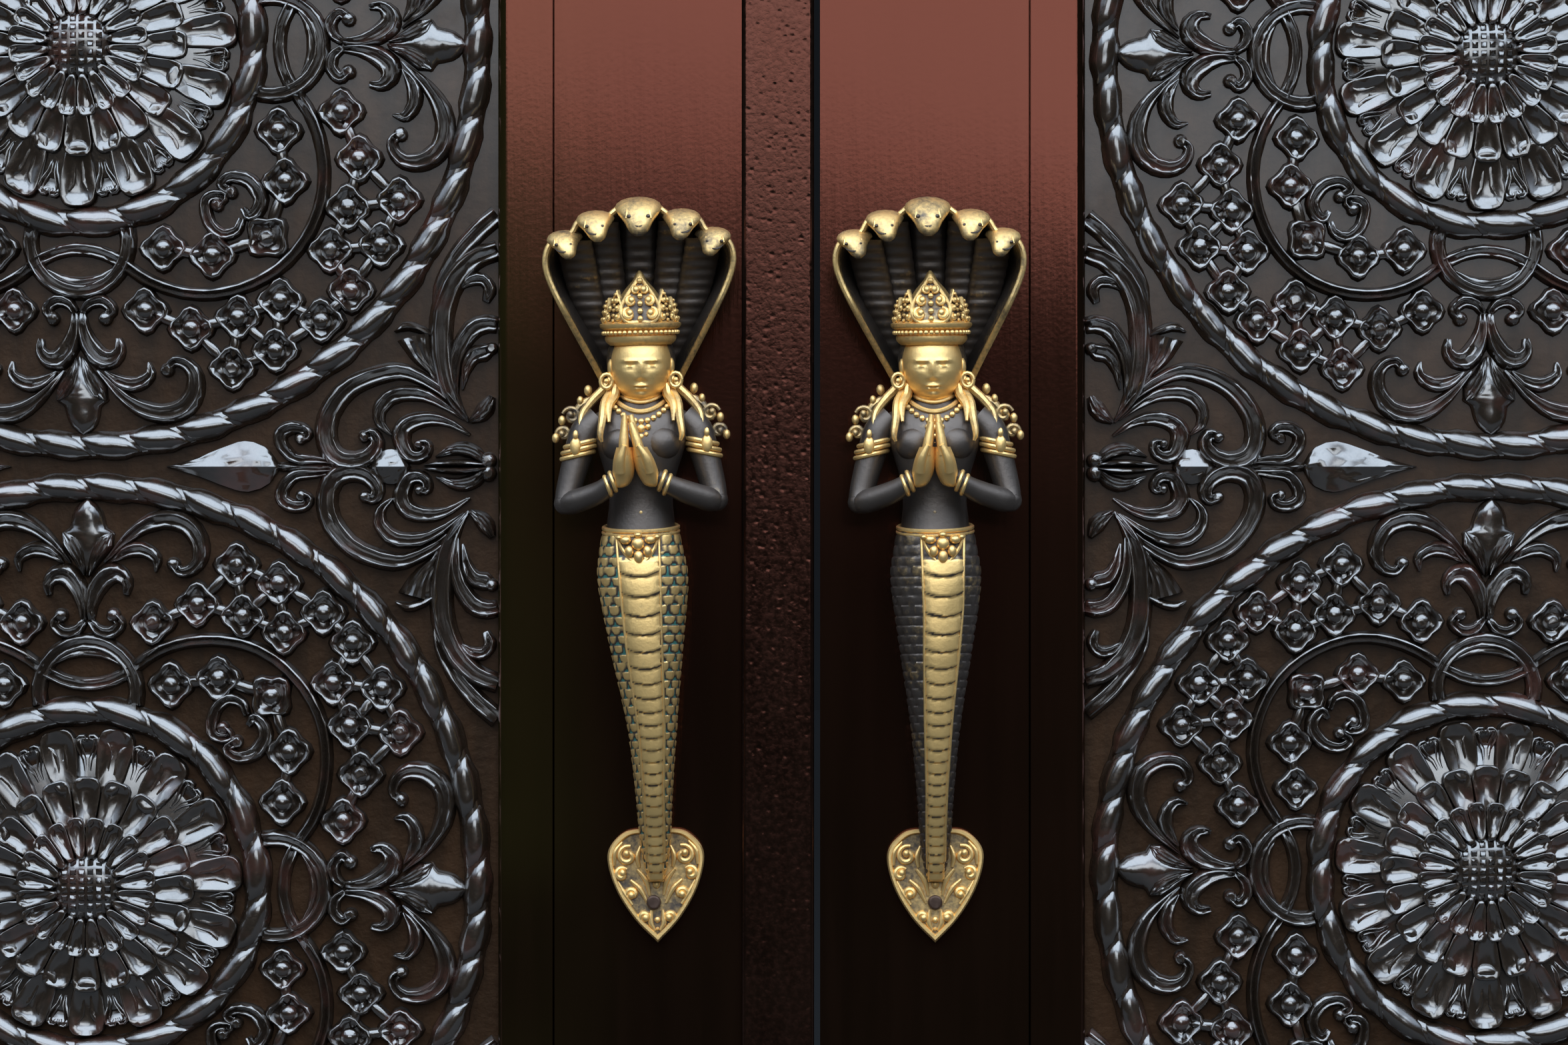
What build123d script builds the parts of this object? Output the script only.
from build123d import *
import math
import os

# Carved temple door: a pair of panelled hardwood leaves in a rebated frame.
# Each leaf holds one tall carved panel of square medallion tiles behind mitred
# beads, and carries a cast brass pull in the form of a snake-tailed figure
# under a five-headed hood. The leaves turn outward on butt hinges. Upright
# bolts and a cross bolt lock them from the inside.
# X runs to the viewer's right, Y into the building, Z up. The origin is on the
# floor, at the middle of the frame's width and depth.

over = 1.0                  # how far a cutting shape runs past the face that it opens

# Carved field
tile = 420.0                # side of one square medallion tile
tiles_high = 4              # tiles in one panel
relief_h = 9.5              # highest carving above the panel's ground
carving_root = 1.0          # carving starts this deep in the panel's board

# Leaf
leaf_t = 45.0               # thickness of stiles and rails
bead_w = 29.0               # bead strip and its groove, beside the carved field
bead_t = 10.0               # thickness of a bead
bead_round = 5.0            # rounded edge of a bead towards the carving
groove_w = 1.0              # open line between a bead and the board
board_w = 121.0             # plain board outside the bead
top_rail_h = 150.0
bottom_rail_h = 270.0
panel_t = 14.0              # panel board behind the carving
panel_gap = 2.0             # room for the panel to move in its rebate
tenon_l = 50.0
tenon_t = 14.0
tenon_inset = 20.0          # shoulder above and below a tenon
tenon_fit = 0.2             # gap round a tenon
tenon_end_gap = 1.0         # gap at a tenon's end

# Meeting of the leaves
centre_to_panel = 150.0     # door's middle to the edge of a carved field
meeting_x = 13.0            # the meeting line lies right of the door's middle
meeting_gap = 3.0
edge_bevel = 2.0            # the meeting edges lean back by this much
strip_w = 37.0              # meeting strip on the left leaf
strip_proud = 4.0
strip_let_in = 10.0
strip_round = 2.5

# Frame
frame_depth = 120.0
jamb_w = 70.0
head_h = 70.0
sill_h = 40.0
stop_w = 13.0               # step behind the leaves, at sides and head
sill_stop_h = 12.0          # step behind the leaves, at the threshold
side_gap = 3.0              # leaf edge to jamb
head_gap = 3.0
sill_gap = 4.0
seat_gap = 2.0              # leaf back to the stop
frame_tenon_l = 30.0
frame_tenon_t = 40.0
frame_tenon_h = 24.0
anchor_r = 5.0              # through holes for the wall anchors
anchor_rows = 3
anchor_pitch = 850.0
anchor_back = 25.0          # holes' distance from the frame's back face

# Butt hinges
hinge_rows = 3
hinge_inset = 200.0         # end of the leaf to the middle of the nearest hinge
flap_h = 100.0
flap_t = 3.0
flap_reach = 36.0           # how far a flap runs in behind the front face
flap_clear = 0.6            # between the two closed flaps
barrel_r = 6.0
barrel_proud = 0.5          # front face to the back of the barrel
knuckles = 5
knuckle_gap = 0.4
pin_r = 3.0
pin_fit = 0.05              # running fit, radial
pin_cap_r = 5.0
pin_cap_h = 3.0
pocket_fit = 0.2

# Countersunk wood screws
screw_r = 2.0
screw_head_r = 4.0
screw_head_h = 2.2
screw_l = 24.0
screw_fit = 0.1
flap_screw_pitch = 34.0
flap_screw_in = 22.0        # front face to the line of flap screws

# Bolts on the inside
bolt_plate_l = 120.0
bolt_plate_w = 34.0
bolt_plate_t = 3.0
rod_r = 6.5
rod_fit = 0.3
rod_off = 15.0              # leaf's back to the rod's axis
rod_front = 79.0            # plate's middle to the rod's tip
rod_back = 58.0
rod_chamfer = 1.5
loop_wall = 4.0
loop_l = 14.0
loop_at = 46.0              # plate's middle to the middle of a loop
knob_at = -20.0
knob_r = 7.0
knob_neck_r = 3.5
knob_off = 42.0             # leaf's back to the knob's middle
bolt_screw_at = (28.0, 12.0)
upright_x = 60.0            # line of the upright bolts
upright_travel = 24.0
upright_clear = 3.0         # withdrawn rod to its keeper
keeper_w = 40.0
keeper_d = 24.0
keeper_t = 3.0
keeper_hole_fit = 0.7
socket_spare = 12.0         # socket beyond the thrown rod's tip
keeper_screw_at = 14.0
cross_z = 1000.0
cross_travel = 46.0
cross_tip_back = 6.0        # withdrawn rod's tip inside the left leaf's edge
cross_tip_past = 1.5        # thrown rod's tip beyond the staple's loop
staple_plate_l = 40.0
staple_screw_at = 14.0

# Pull handles
handle_z = 1100.0           # middle of a casting above the floor
left_handle_x = -74.0
right_handle_x = 71.0
left_handle_tilt = -1.3     # degrees, top leaning to the left
right_handle_tilt = -0.7
stud_z = 112.0              # upper fixing above the casting's middle
stud_r = 4.0
stud_fit = 0.3
stud_in = 12.0              # depth of the stud's hole in the casting's boss
stud_end_gap = 0.5          # stud's end to the bottom of that hole
boss_r = 8.5
washer_r = 10.0
washer_t = 2.0
nut_r = 7.5                 # across corners, halved
nut_t = 6.5
stud_tail = 3.0             # stud beyond the nut
foot_screw_z = -168.0
foot_screw_r = 2.5
foot_screw_head_r = 3.7
foot_screw_head_h = 2.4
foot_screw_round = 1.2
foot_screw_l = 30.0
foot_plate_t = 4.5

# Places worked out from the sizes above
front_y = -frame_depth / 2
back_y = frame_depth / 2
leaf_back_y = front_y + leaf_t
stop_y = leaf_back_y + seat_gap
ground_y = front_y + bead_t
rebate_d = bead_t + panel_t
stile_w = bead_w + board_w
field_h = tile * tiles_high
leaf_z0 = sill_h + sill_gap
leaf_h = bottom_rail_h + field_h + top_rail_h
leaf_z1 = leaf_z0 + leaf_h
field_z0 = leaf_z0 + bottom_rail_h
field_z1 = field_z0 + field_h
outer_x = centre_to_panel + tile + stile_w
jamb_x = outer_x + side_gap
frame_x = jamb_x + jamb_w
head_z = leaf_z1 + head_gap
frame_h = head_z + head_h
left_edge_x = meeting_x - meeting_gap / 2
right_edge_x = meeting_x + meeting_gap / 2
strip_x = left_edge_x - strip_w
pivot_x = outer_x + side_gap / 2
pivot_y = front_y - barrel_r - barrel_proud
hinge_zs = [leaf_z0 + hinge_inset + k * (leaf_h - 2 * hinge_inset) / (hinge_rows - 1)
            for k in range(hinge_rows)]
stop_head_z = head_z - stop_w
stop_sill_z = sill_h + sill_stop_h
keeper_top_z = stop_head_z - keeper_t
keeper_low_z = stop_sill_z + keeper_t
keeper_y = leaf_back_y + rod_off
socket_l = upright_travel - upright_clear - keeper_t + socket_spare
square_hole = 2 * (rod_r + keeper_hole_fit)
cross_tip_x = left_edge_x - cross_tip_back
staple_x = cross_tip_x + cross_travel - cross_tip_past - loop_l / 2

os.makedirs("parts", exist_ok=True)


def bar(x0, x1, y0, y1, z0, z1):
    """Rectangular bar between two corners."""
    return Pos((x0 + x1) / 2, (y0 + y1) / 2, (z0 + z1) / 2) * Box(x1 - x0, y1 - y0, z1 - z0)


def prism(points, plane, depth):
    """Straight-sided outline, raised by depth from a plane."""
    return extrude(plane * make_face(Polyline(*points, close=True)), amount=depth)


def limb(start, end, r_start, r_end):
    """Round bar that tapers from one point to another."""
    axis = Vector(*end) - Vector(*start)
    return Plane(origin=start, z_dir=axis) * Pos(0, 0, axis.length / 2) * Cone(
        r_start, r_end, axis.length)


def blob(centre, radii):
    """Ellipsoid with its three half-lengths."""
    return Pos(*centre) * scale(Sphere(1), by=radii)


# Countersunk screws and the holes that take them

def screw(place):
    """Screw whose head is flush with the place's plane and whose shank runs along minus z."""
    head = Pos(0, 0, -screw_head_h / 2) * Cone(screw_r, screw_head_r, screw_head_h)
    shank = Pos(0, 0, -screw_l / 2) * Cylinder(screw_r, screw_l)
    return place * (head + shank)


def screw_hole(place):
    """Countersunk hole for one screw, a little wider and deeper than the screw."""
    sink = Pos(0, 0, -screw_head_h / 2) * Cone(
        screw_r + screw_fit, screw_head_r + screw_fit, screw_head_h)
    bore = Pos(0, 0, -(screw_l + screw_fit) / 2) * Cylinder(screw_r + screw_fit, screw_l + screw_fit)
    return place * (sink + bore)


# Carving: shapes in one tile, drawn about the tile's middle

rope_r = 0.4655 * tile              # middle line of the outer rope ring
rope_w = 0.034 * tile
rope_sides = 20
inner_rope_r = 0.2107 * tile
inner_rope_w = 0.031 * tile
inner_strands = 20
inner_rope_bite = 0.006 * tile      # how far each strand steps in at its start
strand_step = 0.06                  # part of a strand's length that the step takes
loop_ring_at = 0.232 * tile         # loops on the four axes
loop_ring_r = 0.0648 * tile
loop_ring_w = 0.0095 * tile
lobe_at = 0.1514 * tile             # middle of each quatrefoil lobe, on both axes
lobe_r = 0.1441 * tile
lobe_w = 0.0085 * tile

# Rosette rows from the outside in: petals, tip radius, valley radius, first angle, height
rosette_rows = (
    (15, 0.192 * tile, 0.160 * tile, 90.0, 0.50 * relief_h),
    (20, 0.134 * tile, 0.110 * tile, 9.0, 0.66 * relief_h),
)
inner_row_r = 0.084 * tile
inner_row_sides = 18
button_r = 0.045 * tile
button_sides = 8
rope_h = 0.80 * relief_h
inner_row_h = 0.82 * relief_h
loop_h = 0.50 * relief_h
lobe_h = 0.45 * relief_h
scroll_h = 0.65 * relief_h
lobe_sides = 5
lobe_start = -41.0                  # degrees, where a lobe leaves its loop ring
loop_sides = 4
loop_half = 92.0                    # half of a loop ring's visible arc, in degrees


def polar(radius, degrees):
    """Point at a radius and an angle."""
    return (radius * math.cos(math.radians(degrees)), radius * math.sin(math.radians(degrees)))


def tile_plane(tile_x, tile_z):
    """Plane at a tile's middle, sunk in the board by the carving's root."""
    return Plane(origin=(tile_x, ground_y + carving_root, tile_z), x_dir=(1, 0, 0), z_dir=(0, -1, 0))


def ring(plane, radius, width, sides, height):
    """Ring with flat sides."""
    outer = Polyline(*[polar(radius + width / 2, 360 / sides * k) for k in range(sides)], close=True)
    inner = Polyline(*[polar(radius - width / 2, 360 / sides * k) for k in range(sides)], close=True)
    return extrude(plane * (make_face(outer) - make_face(inner)), amount=height + carving_root)


def stranded_ring(plane, height):
    """Inner rope ring: each strand starts inside the end of the one before."""
    step = 360 / inner_strands
    outline = []
    for k in range(inner_strands):
        outline.append(polar(inner_rope_r + inner_rope_w / 2, step * (k + 1)))
        outline.append(polar(inner_rope_r + inner_rope_w / 2 - inner_rope_bite, step * (k + 1 + strand_step)))
    inner = [polar(inner_rope_r - inner_rope_w / 2, step * k) for k in range(inner_strands)]
    face = make_face(Polyline(*outline, close=True)) - make_face(Polyline(*inner, close=True))
    return extrude(plane * face, amount=height + carving_root)


def disc(plane, radius, sides, height):
    """Flat-sided disc."""
    return prism([polar(radius, 360 / sides * k) for k in range(sides)], plane, height + carving_root)


def petal_disc(plane, petals, tip_r, valley_r, first, height):
    """One row of the rosette, with a point for each petal."""
    step = 360 / petals
    outline = []
    for k in range(petals):
        outline.append(polar(tip_r, first + step * k))
        outline.append(polar(valley_r, first + step * (k + 0.5)))
    return prism(outline, plane, height + carving_root)


def arc_band(plane, middle, radius, width, start, end, sides, height):
    """Curved band about a point, from one angle to another."""
    step = (end - start) / sides
    outer = [polar(radius + width / 2, start + step * k) for k in range(sides + 1)]
    inner = [polar(radius - width / 2, start + step * k) for k in range(sides, -1, -1)]
    return prism([(middle[0] + u, middle[1] + v) for u, v in outer + inner], plane, height + carving_root)


# Outlines of the scrollwork, in parts of the tile, for one quarter or one axis
fleur_outline = (
    (0.300, 0.000), (0.330, -0.040), (0.352, -0.018), (0.400, -0.056),
    (0.446, 0.000), (0.400, 0.056), (0.352, 0.018), (0.330, 0.040),
)
kite_outline = (
    (0.116, 0.500), (0.236, 0.461), (0.290, 0.492), (0.320, 0.450), (0.330, 0.500),
)
plume_outline = (
    (0.500, 0.398), (0.454, 0.374), (0.454, 0.270), (0.500, 0.200),
)
palmette_outline = (
    (0.500, 0.500), (0.372, 0.500), (0.420, 0.436), (0.500, 0.404),
)


def quarter_turns(points, turns):
    """Outline turned about the tile's middle by quarter turns."""
    turned = list(points)
    for _ in range(turns):
        turned = [(-v, u) for u, v in turned]
    return turned


def mirrored(points, flip_u, flip_v):
    """Outline mirrored to one of the four corners, keeping its sense of travel."""
    flipped = [(u * (-1 if flip_u else 1), v * (-1 if flip_v else 1)) for u, v in points]
    return flipped[::-1] if flip_u != flip_v else flipped


def carved_tile(tile_x, tile_z):
    """All the raised shapes of one medallion tile."""
    plane = tile_plane(tile_x, tile_z)
    shapes = [ring(plane, rope_r, rope_w, rope_sides, rope_h), stranded_ring(plane, rope_h)]
    for petals, tip_r, valley_r, first, height in rosette_rows:
        shapes.append(petal_disc(plane, petals, tip_r, valley_r, first, height))
    shapes.append(disc(plane, inner_row_r, inner_row_sides, inner_row_h))
    shapes.append(disc(plane, button_r, button_sides, relief_h))
    for quarter in range(4):
        turn = 90 * quarter
        lobe_u, lobe_v = quarter_turns([(lobe_at, lobe_at)], quarter)[0]
        loop_u, loop_v = quarter_turns([(loop_ring_at, 0)], quarter)[0]
        shapes.append(arc_band(plane, (lobe_u, lobe_v), lobe_r, lobe_w, turn + lobe_start,
                               turn + 90 - lobe_start, lobe_sides, lobe_h))
        shapes.append(arc_band(plane, (loop_u, loop_v), loop_ring_r, loop_ring_w,
                               turn - loop_half, turn + loop_half, loop_sides, loop_h))
        fleur = quarter_turns([(u * tile, v * tile) for u, v in fleur_outline], quarter)
        shapes.append(prism(fleur, plane, scroll_h + carving_root))
    for flip_u in (False, True):
        for flip_v in (False, True):
            for outline in (kite_outline, plume_outline, palmette_outline):
                corner = mirrored([(u * tile, v * tile) for u, v in outline], flip_u, flip_v)
                shapes.append(prism(corner, plane, scroll_h + carving_root))
    return shapes


def carved_panel(middle_x):
    """Panel board of one leaf with its column of carved tiles."""
    half_w = tile / 2 + bead_w - panel_gap
    board = bar(middle_x - half_w, middle_x + half_w, ground_y, ground_y + panel_t,
                field_z0 - bead_w + panel_gap, field_z1 + bead_w - panel_gap)
    shapes = []
    for row in range(tiles_high):
        shapes += carved_tile(middle_x, field_z0 + (row + 0.5) * tile)
    return board + shapes


# Leaf timbers

def leaf_span(side):
    """Hinge edge, meeting edge and carved field of the left (-1) or right (1) leaf, along X."""
    meeting = left_edge_x if side < 0 else right_edge_x
    return side * outer_x, meeting, side * centre_to_panel, side * (centre_to_panel + tile)


def ordered_bar(xa, xb, y0, y1, z0, z1):
    """Bar whose two X limits come in either order."""
    return bar(min(xa, xb), max(xa, xb), y0, y1, z0, z1)


def panel_rebate(side):
    """Step cut round the opening, for the panel's edge and the beads on it."""
    _, _, near, far = leaf_span(side)
    return ordered_bar(near - side * bead_w, far + side * bead_w, front_y, front_y + rebate_d,
                       field_z0 - bead_w, field_z1 + bead_w)


def tenon(x_in, side_out, z0, z1, length, fit):
    """Tenon block, or with a fit its mortise, pointing along X."""
    middle_y = front_y + leaf_t / 2
    return ordered_bar(x_in, x_in + side_out * length, middle_y - tenon_t / 2 - fit,
                       middle_y + tenon_t / 2 + fit, z0 + tenon_inset - fit, z1 - tenon_inset + fit)


rail_spans = {
    "bottom": (leaf_z0, field_z0),
    "top": (field_z1, leaf_z1),
}


def rail_tenon_span(name):
    """Height of a rail's full-depth part, which the rebate leaves alone."""
    z0, z1 = rail_spans[name]
    return (z0, z1 - bead_w) if name == "bottom" else (z0 + bead_w, z1)


def mortises(x_edge, side_out):
    """The two mortises of one stile."""
    return [tenon(x_edge, side_out, *rail_tenon_span(name), tenon_l + tenon_end_gap, tenon_fit)
            for name in rail_spans]


def rail(side, name):
    """Top or bottom rail of a leaf, with a tenon at each end."""
    _, _, near, far = leaf_span(side)
    z0, z1 = rail_spans[name]
    body = ordered_bar(near, far, front_y, leaf_back_y, z0, z1) - panel_rebate(side)
    return body + [tenon(near, -side, *rail_tenon_span(name), tenon_l, 0),
                   tenon(far, side, *rail_tenon_span(name), tenon_l, 0)]


def hinge_stile(side):
    """Stile at the hinges, with flap pockets and screw holes."""
    hinge_edge, _, _, far = leaf_span(side)
    body = ordered_bar(far, hinge_edge, front_y, leaf_back_y, leaf_z0, leaf_z1)
    cuts = [panel_rebate(side)] + mortises(far, side)
    cuts += [flap_pocket(side, z, False) for z in hinge_zs]
    cuts += [screw_hole(place) for z in hinge_zs for place in flap_screws(side, z, False)]
    return body - cuts


def meeting_stile(side):
    """Stile at the middle, with bevelled edge and the holes for handle and bolts."""
    _, edge, near, _ = leaf_span(side)
    lean = -edge_bevel if side < 0 else edge_bevel
    plan = ((near, front_y), (edge, front_y), (edge + lean, leaf_back_y), (near, leaf_back_y))
    body = prism(plan, Plane.XY.offset(leaf_z0), leaf_h)
    cuts = [panel_rebate(side)] + mortises(near, -side) + handle_bores(side)
    if side < 0:
        cuts.append(bar(strip_x, edge + over, front_y, front_y + strip_let_in, leaf_z0, leaf_z1))
    cuts += [screw_hole(place) for place in back_screws(side)]
    return body - cuts


def meeting_strip():
    """Strip let into the left leaf's meeting edge, with softened front edges."""
    lean = edge_bevel * strip_let_in / leaf_t
    plan = ((strip_x, front_y - strip_proud), (left_edge_x, front_y - strip_proud),
            (left_edge_x, front_y), (left_edge_x - lean, front_y + strip_let_in),
            (strip_x, front_y + strip_let_in))
    body = prism(plan, Plane.XY.offset(leaf_z0), leaf_h)
    front_edges = body.edges().filter_by(Axis.Z).group_by(Axis.Y)[0]
    return fillet(front_edges, strip_round)


def bead(side, place):
    """One mitred bead on the panel's edge, rounded towards the carving."""
    _, _, near, far = leaf_span(side)
    x0, x1 = min(near, far), max(near, far)
    wide = bead_w - groove_w
    outlines = {
        "bottom": ((x0, field_z0), (x1, field_z0), (x1 + wide, field_z0 - wide),
                   (x0 - wide, field_z0 - wide)),
        "top": ((x0, field_z1), (x1, field_z1), (x1 + wide, field_z1 + wide),
                (x0 - wide, field_z1 + wide)),
        "left": ((x0, field_z0), (x0, field_z1), (x0 - wide, field_z1 + wide),
                 (x0 - wide, field_z0 - wide)),
        "right": ((x1, field_z0), (x1, field_z1), (x1 + wide, field_z1 + wide),
                  (x1 + wide, field_z0 - wide)),
    }
    outline = outlines[place]
    plane = Plane(origin=(0, ground_y, 0), x_dir=(1, 0, 0), z_dir=(0, -1, 0))
    body = prism(outline, plane, bead_t)
    (xa, za), (xb, zb) = outline[:2]
    inner_middle = Vector((xa + xb) / 2, front_y, (za + zb) / 2)
    inner_edge = body.edges().sort_by_distance(inner_middle)[0]
    return fillet(inner_edge, bead_round)


# Hinges

def flap_plate_x(side, on_frame):
    """X of a flap's inner face, by the pin's line, and of its outer face."""
    toward = side if on_frame else -side
    inner = side * pivot_x + toward * flap_clear / 2
    return inner, inner + toward * flap_t


def flap_pocket(side, z, on_frame):
    """Pocket for one flap in the leaf's edge or in the jamb."""
    _, outer = flap_plate_x(side, on_frame)
    return ordered_bar(side * pivot_x, outer, front_y - over, front_y + flap_reach + pocket_fit,
                       z - flap_h / 2 - pocket_fit, z + flap_h / 2 + pocket_fit)


def flap_screws(side, z, on_frame):
    """Places of the three screws of one flap."""
    inner, _ = flap_plate_x(side, on_frame)
    facing = -side if on_frame else side
    plane = Plane(origin=(inner, front_y + flap_screw_in, z), z_dir=(facing, 0, 0))
    upright = plane.to_local_coords(Vector(inner, front_y + flap_screw_in, z + flap_screw_pitch))
    return [plane * Pos(upright.X * k, upright.Y * k, 0) for k in (-1, 0, 1)]


def hinge_half(side, z, on_frame):
    """Flap with its share of the barrel: frame halves have the end and middle knuckles."""
    inner, outer = flap_plate_x(side, on_frame)
    plate_y = pivot_y + barrel_r + knuckle_gap
    plate = ordered_bar(inner, outer, plate_y, front_y + flap_reach, z - flap_h / 2, z + flap_h / 2)
    pitch = flap_h / knuckles
    first = 0 if on_frame else 1
    shapes = []
    for k in range(first, knuckles, 2):
        z0 = z - flap_h / 2 + k * pitch + (knuckle_gap / 2 if k else 0)
        z1 = z - flap_h / 2 + (k + 1) * pitch - (knuckle_gap / 2 if k < knuckles - 1 else 0)
        shapes.append(Pos(side * pivot_x, pivot_y, (z0 + z1) / 2) * Cylinder(barrel_r, z1 - z0))
        shapes.append(ordered_bar(inner, outer, pivot_y, plate_y, z0, z1))
    bore = Pos(side * pivot_x, pivot_y, z) * Cylinder(pin_r + pin_fit, flap_h + 2 * over)
    holes = [screw_hole(place) for place in flap_screws(side, z, on_frame)]
    return plate + shapes - [bore] - holes


def hinge_pins(side):
    """The pins of one leaf, each with a cap that rests on the barrel's top."""
    pins = []
    for z in hinge_zs:
        shank = Pos(side * pivot_x, pivot_y, z) * Cylinder(pin_r, flap_h)
        cap = Pos(side * pivot_x, pivot_y, z + flap_h / 2 + pin_cap_h / 2) * Cylinder(
            pin_cap_r, pin_cap_h)
        pins.append(shank + cap)
    return Compound(pins)


# Bolts: local x is the throw, local z points away from the leaf

def bolt_loop(at, hole_r):
    """Guide loop of a bolt, with a rounded top."""
    outer_r = rod_r + loop_wall
    leg = Pos(at, 0, rod_off / 2) * Box(loop_l, 2 * outer_r, rod_off)
    crown = Pos(at, 0, rod_off) * Rot(0, 90, 0) * Cylinder(outer_r, loop_l)
    hole = Pos(at, 0, rod_off) * Rot(0, 90, 0) * Cylinder(hole_r, loop_l + 2 * over)
    return leg + crown - hole


def bolt_body():
    """Back plate with its two guide loops."""
    plate = Pos(0, 0, bolt_plate_t / 2) * Box(bolt_plate_l, bolt_plate_w, bolt_plate_t)
    loops = [bolt_loop(at, rod_r + rod_fit) for at in (-loop_at, loop_at)]
    holes = [screw_hole(place) for place in bolt_screws()]
    return plate + loops - holes


def bolt_screws():
    """Places of the four screws of a bolt's plate."""
    along, across = bolt_screw_at
    return [Pos(u * along, v * across, bolt_plate_t) for u in (-1, 1) for v in (-1, 1)]


def bolt_rod():
    """Round rod with its knob."""
    length = rod_front + rod_back
    rod = Pos((rod_front - rod_back) / 2, 0, rod_off) * Rot(0, 90, 0) * Cylinder(rod_r, length)
    rod = chamfer(rod.edges().filter_by(GeomType.CIRCLE).sort_by(Axis.X)[-1], rod_chamfer)
    neck = Pos(knob_at, 0, (rod_off + knob_off) / 2) * Cylinder(knob_neck_r, knob_off - rod_off)
    return rod + [neck, Pos(knob_at, 0, knob_off) * Sphere(knob_r)]


def staple():
    """Box staple on its own plate, with a square way in for the cross bolt."""
    plate = Pos(0, 0, bolt_plate_t / 2) * Box(staple_plate_l, bolt_plate_w, bolt_plate_t)
    height = rod_off + rod_r + loop_wall
    block = Pos(0, 0, height / 2) * Box(loop_l, 2 * (rod_r + loop_wall), height)
    way_in = Pos(0, 0, rod_off) * Box(loop_l + 2 * over, square_hole, square_hole)
    return plate + block - [way_in] - [screw_hole(place) for place in staple_screws()]


def staple_screws():
    """Places of the staple's four screws."""
    across = bolt_screw_at[1]
    return [Pos(u * staple_screw_at, v * across, bolt_plate_t) for u in (-1, 1) for v in (-1, 1)]


def back_frame(x, z, throw):
    """Bolt frame on a leaf's back, with the throw along a world direction."""
    return Location(Plane(origin=(x, leaf_back_y, z), x_dir=throw, z_dir=(0, 1, 0)))


top_bolt = back_frame(upright_x, keeper_top_z - upright_clear - rod_front, (0, 0, 1))
low_bolt = back_frame(upright_x, keeper_low_z + upright_clear + rod_front, (0, 0, -1))
cross_bolt = back_frame(cross_tip_x - rod_front, cross_z, (1, 0, 0))
staple_place = back_frame(staple_x, cross_z, (1, 0, 0))


def back_screws(side):
    """Places of all screws that enter a meeting stile from its back."""
    if side < 0:
        return [cross_bolt * place for place in bolt_screws()]
    return ([top_bolt * place for place in bolt_screws()]
            + [low_bolt * place for place in bolt_screws()]
            + [staple_place * place for place in staple_screws()])


def keeper_screws(z_face, up):
    """Places of a keeper's two screws, with heads facing the leaf's bolt."""
    turn = Rot(180, 0, 0) if up else Rot(0, 0, 0)
    return [Pos(upright_x + u * keeper_screw_at, keeper_y, z_face) * turn for u in (-1, 1)]


def keeper(z0, z_face, up):
    """Plate with a square hole for an upright bolt."""
    plate = bar(upright_x - keeper_w / 2, upright_x + keeper_w / 2, keeper_y - keeper_d / 2,
                keeper_y + keeper_d / 2, z0, z0 + keeper_t)
    hole = Pos(upright_x, keeper_y, z0 + keeper_t / 2) * Box(
        square_hole, square_hole, keeper_t + 2 * over)
    return plate - [hole] - [screw_hole(place) for place in keeper_screws(z_face, up)]


# Frame timbers

def jamb(side):
    """Rebated post at one side, with mortises, flap pockets and anchor holes."""
    plan = ((side * jamb_x, front_y), (side * frame_x, front_y), (side * frame_x, back_y),
            (side * (jamb_x - stop_w), back_y), (side * (jamb_x - stop_w), stop_y),
            (side * jamb_x, stop_y))
    body = prism(plan if side > 0 else plan[::-1], Plane.XY, frame_h)
    cuts = [flap_pocket(side, z, True) for z in hinge_zs]
    cuts += [screw_hole(place) for z in hinge_zs for place in flap_screws(side, z, True)]
    cuts += [frame_tenon(side, z, frame_tenon_l + tenon_end_gap, tenon_fit) for z in frame_tenon_zs]
    for k in range(anchor_rows):
        z = frame_h / 2 + (k - (anchor_rows - 1) / 2) * anchor_pitch
        cuts.append(Pos(side * (frame_x - (jamb_w + stop_w) / 2), back_y - anchor_back, z)
                    * Rot(0, 90, 0) * Cylinder(anchor_r, jamb_w + stop_w + 2 * over))
    return body - cuts


frame_tenon_zs = (sill_h / 2, head_z + head_h / 2)


def frame_tenon(side, z, length, fit):
    """Tenon of head or threshold, or with a fit its mortise."""
    start = side * (jamb_x - stop_w)
    middle_y = (stop_y + back_y) / 2
    return ordered_bar(start, start + side * (stop_w + length), middle_y - frame_tenon_t / 2 - fit,
                       middle_y + frame_tenon_t / 2 + fit, z - frame_tenon_h / 2 - fit,
                       z + frame_tenon_h / 2 + fit)


def cross_member(z0, z1, z_stop0, z_stop1, tenon_z):
    """Head or threshold: a front part over the opening and a deeper step behind the leaves."""
    front = bar(-jamb_x, jamb_x, front_y, stop_y, z0, z1)
    rear = bar(-(jamb_x - stop_w), jamb_x - stop_w, stop_y, back_y, z_stop0, z_stop1)
    return front + [rear] + [frame_tenon(side, tenon_z, frame_tenon_l, 0) for side in (-1, 1)]


def frame_head():
    """Head of the frame with the socket and screw holes of the top keeper."""
    body = cross_member(head_z, frame_h, stop_head_z, frame_h, frame_tenon_zs[1])
    socket = Pos(upright_x, keeper_y, stop_head_z + socket_l / 2) * Box(
        square_hole, square_hole, socket_l)
    return body - [socket] - [screw_hole(place) for place in keeper_screws(keeper_top_z, True)]


def threshold():
    """Threshold with the socket and screw holes of the bottom keeper."""
    body = cross_member(0, sill_h, 0, stop_sill_z, frame_tenon_zs[0])
    socket = Pos(upright_x, keeper_y, stop_sill_z - socket_l / 2) * Box(
        square_hole, square_hole, socket_l)
    return body - [socket] - [screw_hole(place) for place in keeper_screws(keeper_low_z, False)]


# Pull handle: local x to the right, local z up, the board's face at local y 0,
# outward towards minus y. Stand-offs are distances from the board.

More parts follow.
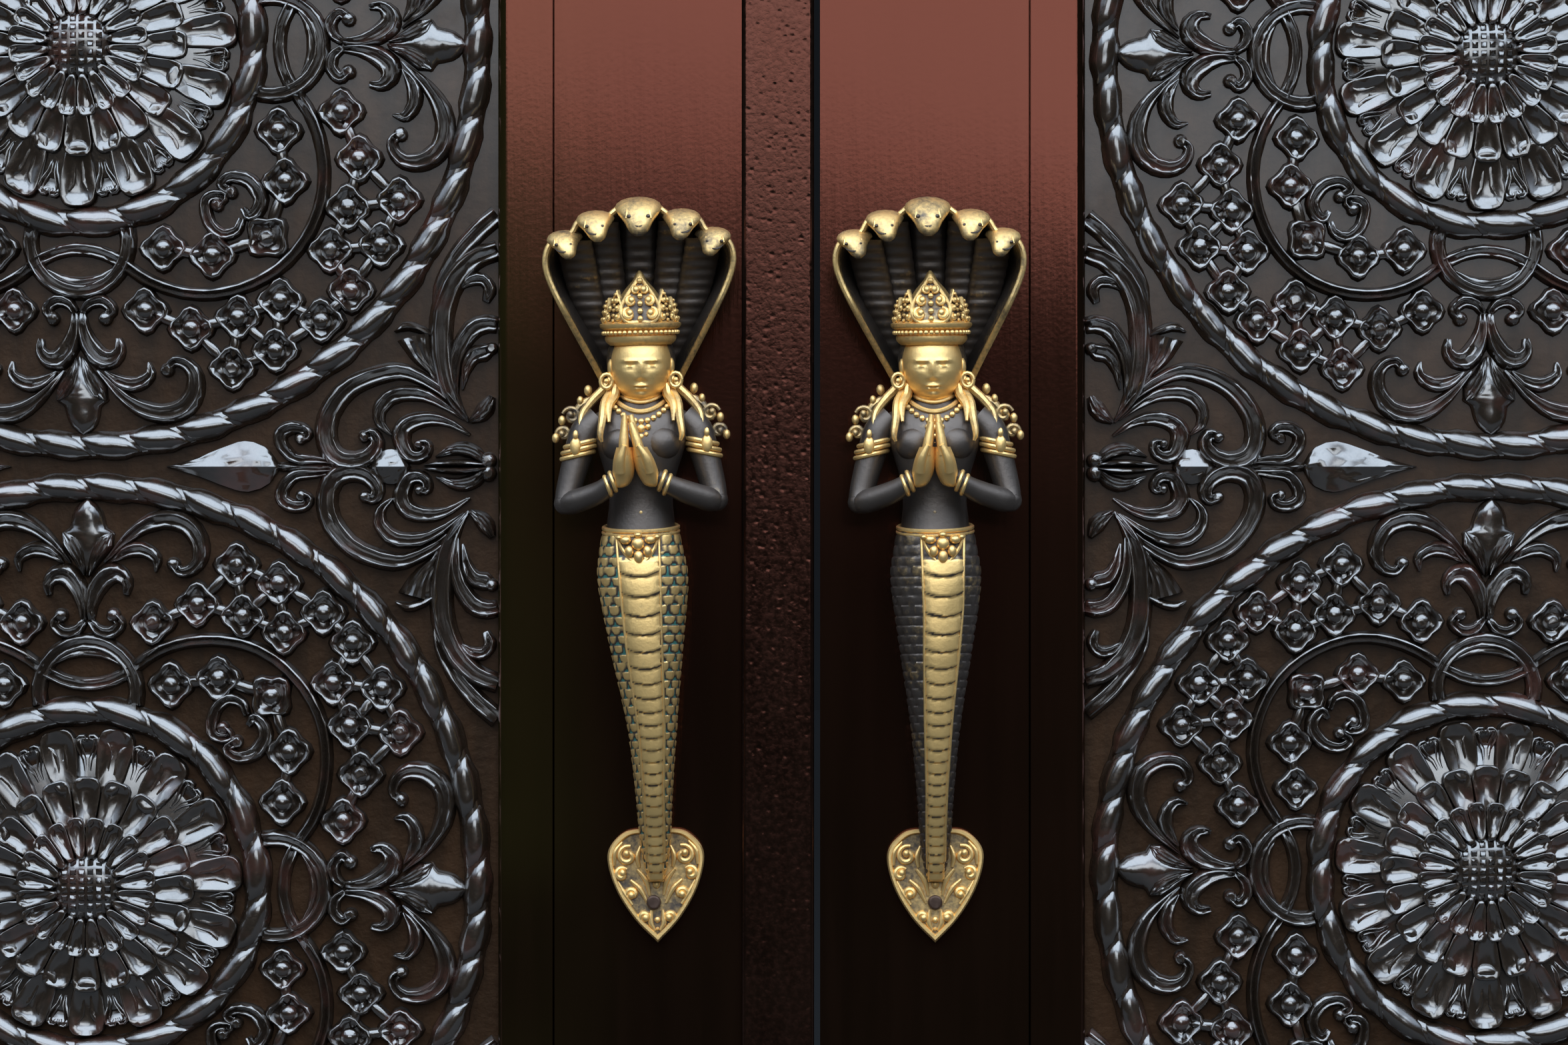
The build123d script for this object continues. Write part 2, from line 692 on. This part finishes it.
# Tail, hips, waist, chest and neck: height, stand-off, half width, half depth
body_sections = (
    (-158.0, 7.0, 2.0, 3.0),
    (-136.0, 16.0, 7.2, 7.0),
    (-110.0, 28.0, 8.9, 8.5),
    (-76.0, 38.0, 12.3, 11.0),
    (-42.0, 44.0, 17.4, 14.0),
    (-3.0, 47.0, 22.6, 16.5),
    (20.0, 47.0, 19.0, 15.0),
    (40.0, 46.0, 16.3, 13.0),
    (64.0, 47.0, 22.0, 15.0),
    (80.0, 45.0, 20.0, 12.0),
    (88.0, 43.0, 9.5, 9.0),
    (98.0, 43.0, 8.5, 8.5),
)
head_middle = (0.0, -46.0, 106.0)
head_radii = (15.7, 15.5, 18.5)
nape_middle = (0.0, -35.0, 102.0)
nape_radii = (14.0, 13.0, 24.0)
# Crown: height, half width, half depth
crown_sections = ((119.0, 17.0, 15.0), (126.0, 21.0, 17.0), (137.0, 13.0, 12.0), (153.0, 1.5, 1.5))
crown_off = 45.0
# Half outline of the hood's rim: across, height
hood_outline = ((9.0, 84.5), (16.0, 91.0), (23.0, 104.0), (38.0, 132.0), (48.5, 156.0), (43.0, 171.0),
                (28.0, 181.0), (13.0, 187.0))
hood_low = 84.0
hood_top = 189.0
hood_back_off = 22.0
hood_rim_off = 58.0
hood_back_share = 0.82
hood_wall = 3.0
# Snake heads on the rim: across, stand-off, height, half lengths
snake_heads = (
    (-39.0, 60.0, 166.0, (7.0, 10.0, 7.5)),
    (-23.0, 63.0, 176.0, (8.0, 12.0, 8.0)),
    (0.0, 66.0, 180.0, (10.0, 15.0, 9.5)),
    (23.0, 63.0, 176.0, (8.0, 12.0, 8.0)),
    (39.0, 60.0, 166.0, (7.0, 10.0, 7.5)),
)
shoulder = (24.5, -46.0, 76.0)
elbow = (37.5, -50.0, 37.0)
wrist = (5.0, -67.0, 49.0)
finger_tip = (1.6, -70.0, 78.0)
arm_radii = (7.8, 6.2, 4.6, 1.8)        # shoulder, elbow, wrist, finger tips
belt_z = 17.0
belt_off = 47.0
belt_h = 9.0
belt_radii = (21.5, 17.0)
foot_plate_outline = ((11.0, -131.5), (24.0, -143.0), (20.5, -166.0), (8.0, -181.0))
foot_plate_top = -136.0
foot_plate_tip = -189.0


def closed_outline(half, bottom, top):
    """Smooth outline that is the same left and right."""
    left = [(-x, z) for x, z in half]
    right_side = Spline((0, bottom), *half, (0, top))
    left_side = Spline((0, top), *left[::-1], (0, bottom))
    return make_face(Curve() + [right_side, left_side])


def hood_slice(share):
    """Outline of the hood, made smaller about its own middle."""
    middle_z = (hood_low + hood_top) / 2
    reach = (hood_top - hood_low) / 2 * share
    half = [(x * share, middle_z + (z - middle_z) * share) for x, z in hood_outline]
    return closed_outline(half, middle_z - reach, middle_z + reach)


def hood():
    """Open hood of snake bodies: a wide shallow bowl that narrows to the neck."""
    rim_plane = Plane(origin=(0, -hood_rim_off, 0), x_dir=(1, 0, 0), z_dir=(0, -1, 0))
    back_plane = Plane(origin=(0, -hood_back_off, 0), x_dir=(1, 0, 0), z_dir=(0, -1, 0))
    outer = loft([back_plane * hood_slice(hood_back_share), rim_plane * hood_slice(1)], ruled=True)
    shrink = 1 - hood_wall / max(x for x, _ in hood_outline)
    inner = loft([back_plane.offset(hood_wall) * hood_slice(hood_back_share * shrink),
                  rim_plane.offset(over) * hood_slice(shrink)], ruled=True)
    return outer - inner


def arms():
    """Both arms, bent to bring the hands together palm to palm."""
    shapes = []
    for side in (-1, 1):
        joints = [(side * x, y, z) for x, y, z in (shoulder, elbow, wrist, finger_tip)]
        for k in range(3):
            shapes.append(limb(joints[k], joints[k + 1], arm_radii[k], arm_radii[k + 1]))
        shapes += [Pos(*joint) * Sphere(radius) for joint, radius in zip(joints, arm_radii)]
    return shapes


def section(height, stand_off, half_w, half_d):
    """Oval slice through the figure."""
    return Pos(0, -stand_off, height) * Ellipse(half_w, half_d)


def handle_casting():
    """The whole pull as one casting."""
    figure = loft([section(*oval) for oval in body_sections])
    crown = loft([section(z, crown_off, w, d) for z, w, d in crown_sections])
    front = Plane(origin=(0, 0, 0), x_dir=(1, 0, 0), z_dir=(0, -1, 0))
    plate = extrude(front * closed_outline(foot_plate_outline[::-1], foot_plate_tip, foot_plate_top),
                    amount=foot_plate_t)
    boss = Pos(0, -(hood_back_off + hood_wall) / 2, stud_z) * Rot(90, 0, 0) * Cylinder(
        boss_r, hood_back_off + hood_wall)
    belt = Pos(0, -belt_off, belt_z) * extrude(
        Ellipse(*belt_radii), amount=belt_h / 2, both=True)
    nape = blob(nape_middle, nape_radii)
    pieces = [crown, plate, boss, belt, nape, hood(), blob(head_middle, head_radii)] + arms()
    pieces += [blob((x, -off, z), radii) for x, off, z, radii in snake_heads]
    return figure + pieces - [handle_stud_hole(), foot_screw_hole()]


def handle_stud_hole():
    """Blind hole in the boss for the stud."""
    return Pos(0, -stud_in / 2, stud_z) * Rot(90, 0, 0) * Cylinder(stud_r + screw_fit, stud_in)


def foot_screw_hole():
    """Plain hole through the foot plate."""
    return Pos(0, -foot_plate_t / 2, foot_screw_z) * Rot(90, 0, 0) * Cylinder(
        foot_screw_r + screw_fit, foot_plate_t + 2 * over)


def handle_place(side):
    """Place of a handle on its meeting stile."""
    x, tilt = (left_handle_x, left_handle_tilt) if side < 0 else (right_handle_x, right_handle_tilt)
    return Pos(x, front_y, handle_z) * Rot(0, tilt, 0)


def handle_bores(side):
    """Through hole for the stud and pilot hole for the foot screw."""
    through = Pos(0, leaf_t / 2, stud_z) * Rot(90, 0, 0) * Cylinder(
        stud_r + stud_fit, leaf_t + 2 * over)
    pilot_l = foot_screw_l - foot_plate_t + over
    pilot = Pos(0, pilot_l / 2, foot_screw_z) * Rot(90, 0, 0) * Cylinder(
        foot_screw_r + screw_fit, pilot_l)
    return [handle_place(side) * through, handle_place(side) * pilot]


def stud():
    """Threaded stud, plain here, from the boss to beyond the nut."""
    y0, y1 = -stud_in + stud_end_gap, leaf_t + washer_t + nut_t + stud_tail
    return Pos(0, (y0 + y1) / 2, stud_z) * Rot(90, 0, 0) * Cylinder(stud_r, y1 - y0)


def washer():
    """Flat washer on the leaf's back."""
    flat_ring = Cylinder(washer_r, washer_t) - Cylinder(stud_r + stud_fit, washer_t + 2 * over)
    return Pos(0, leaf_t + washer_t / 2, stud_z) * Rot(90, 0, 0) * flat_ring


def nut():
    """Hexagon nut on the washer."""
    blank = extrude(RegularPolygon(nut_r, 6), amount=nut_t)
    hole = Pos(0, 0, nut_t / 2) * Cylinder(stud_r + screw_fit, nut_t + 2 * over)
    return Pos(0, leaf_t + washer_t + nut_t, stud_z) * Rot(90, 0, 0) * (blank - hole)


def foot_screw():
    """Round-headed screw in the foot plate."""
    shank = Pos(0, foot_screw_l / 2 - foot_plate_t, foot_screw_z) * Rot(90, 0, 0) * Cylinder(
        foot_screw_r, foot_screw_l)
    head = Pos(0, -foot_plate_t - foot_screw_head_h / 2, foot_screw_z) * Rot(90, 0, 0) * Cylinder(
        foot_screw_head_r, foot_screw_head_h)
    head = fillet(head.edges().filter_by(GeomType.CIRCLE).sort_by(Axis.Y)[0], foot_screw_round)
    return shank + head


# Write every piece

def write(name, shape):
    """One STEP file for one named piece."""
    export_step(shape, f"parts/{name}.step")


side_names = {-1: "left", 1: "right"}
casting_shape = handle_casting()

for side, word in side_names.items():
    write(f"{word}_jamb", jamb(side))
    write(f"{word}_hinge_stile", hinge_stile(side))
    write(f"{word}_meeting_stile", meeting_stile(side))
    for rail_name in rail_spans:
        write(f"{word}_{rail_name}_rail", rail(side, rail_name))
    write(f"{word}_carved_panel", carved_panel(side * (centre_to_panel + tile / 2)))
    for bead_name in ("bottom", "top", "left", "right"):
        write(f"{word}_panel_bead_{bead_name}", bead(side, bead_name))
    for number, hinge_z in enumerate(hinge_zs, start=1):
        write(f"{word}_hinge_{number}_frame_flap", hinge_half(side, hinge_z, True))
        write(f"{word}_hinge_{number}_leaf_flap", hinge_half(side, hinge_z, False))
    write(f"{word}_hinge_pins", hinge_pins(side))
    write(f"{word}_handle", handle_place(side) * casting_shape)
    write(f"{word}_handle_stud", handle_place(side) * stud())
    write(f"{word}_handle_washer", handle_place(side) * washer())
    write(f"{word}_handle_nut", handle_place(side) * nut())
    write(f"{word}_handle_foot_screw", handle_place(side) * foot_screw())
    leaf_screw_places = [place for z in hinge_zs for place in flap_screws(side, z, False)]
    write(f"{word}_leaf_screws", Compound([screw(place) for place in
                                           leaf_screw_places + back_screws(side)]))

frame_screw_places = [place for side in side_names for z in hinge_zs
                      for place in flap_screws(side, z, True)]
frame_screw_places += keeper_screws(keeper_top_z, True) + keeper_screws(keeper_low_z, False)
write("frame_screws", Compound([screw(place) for place in frame_screw_places]))
write("frame_head", frame_head())
write("threshold", threshold())
write("meeting_strip", meeting_strip())
write("top_bolt_body", top_bolt * bolt_body())
write("top_bolt_rod", top_bolt * bolt_rod())
write("top_bolt_keeper", keeper(keeper_top_z, keeper_top_z, True))
write("bottom_bolt_body", low_bolt * bolt_body())
write("bottom_bolt_rod", low_bolt * bolt_rod())
write("bottom_bolt_keeper", keeper(stop_sill_z, keeper_low_z, False))
write("cross_bolt_body", cross_bolt * bolt_body())
write("cross_bolt_rod", cross_bolt * bolt_rod())
write("cross_bolt_staple", staple_place * staple())
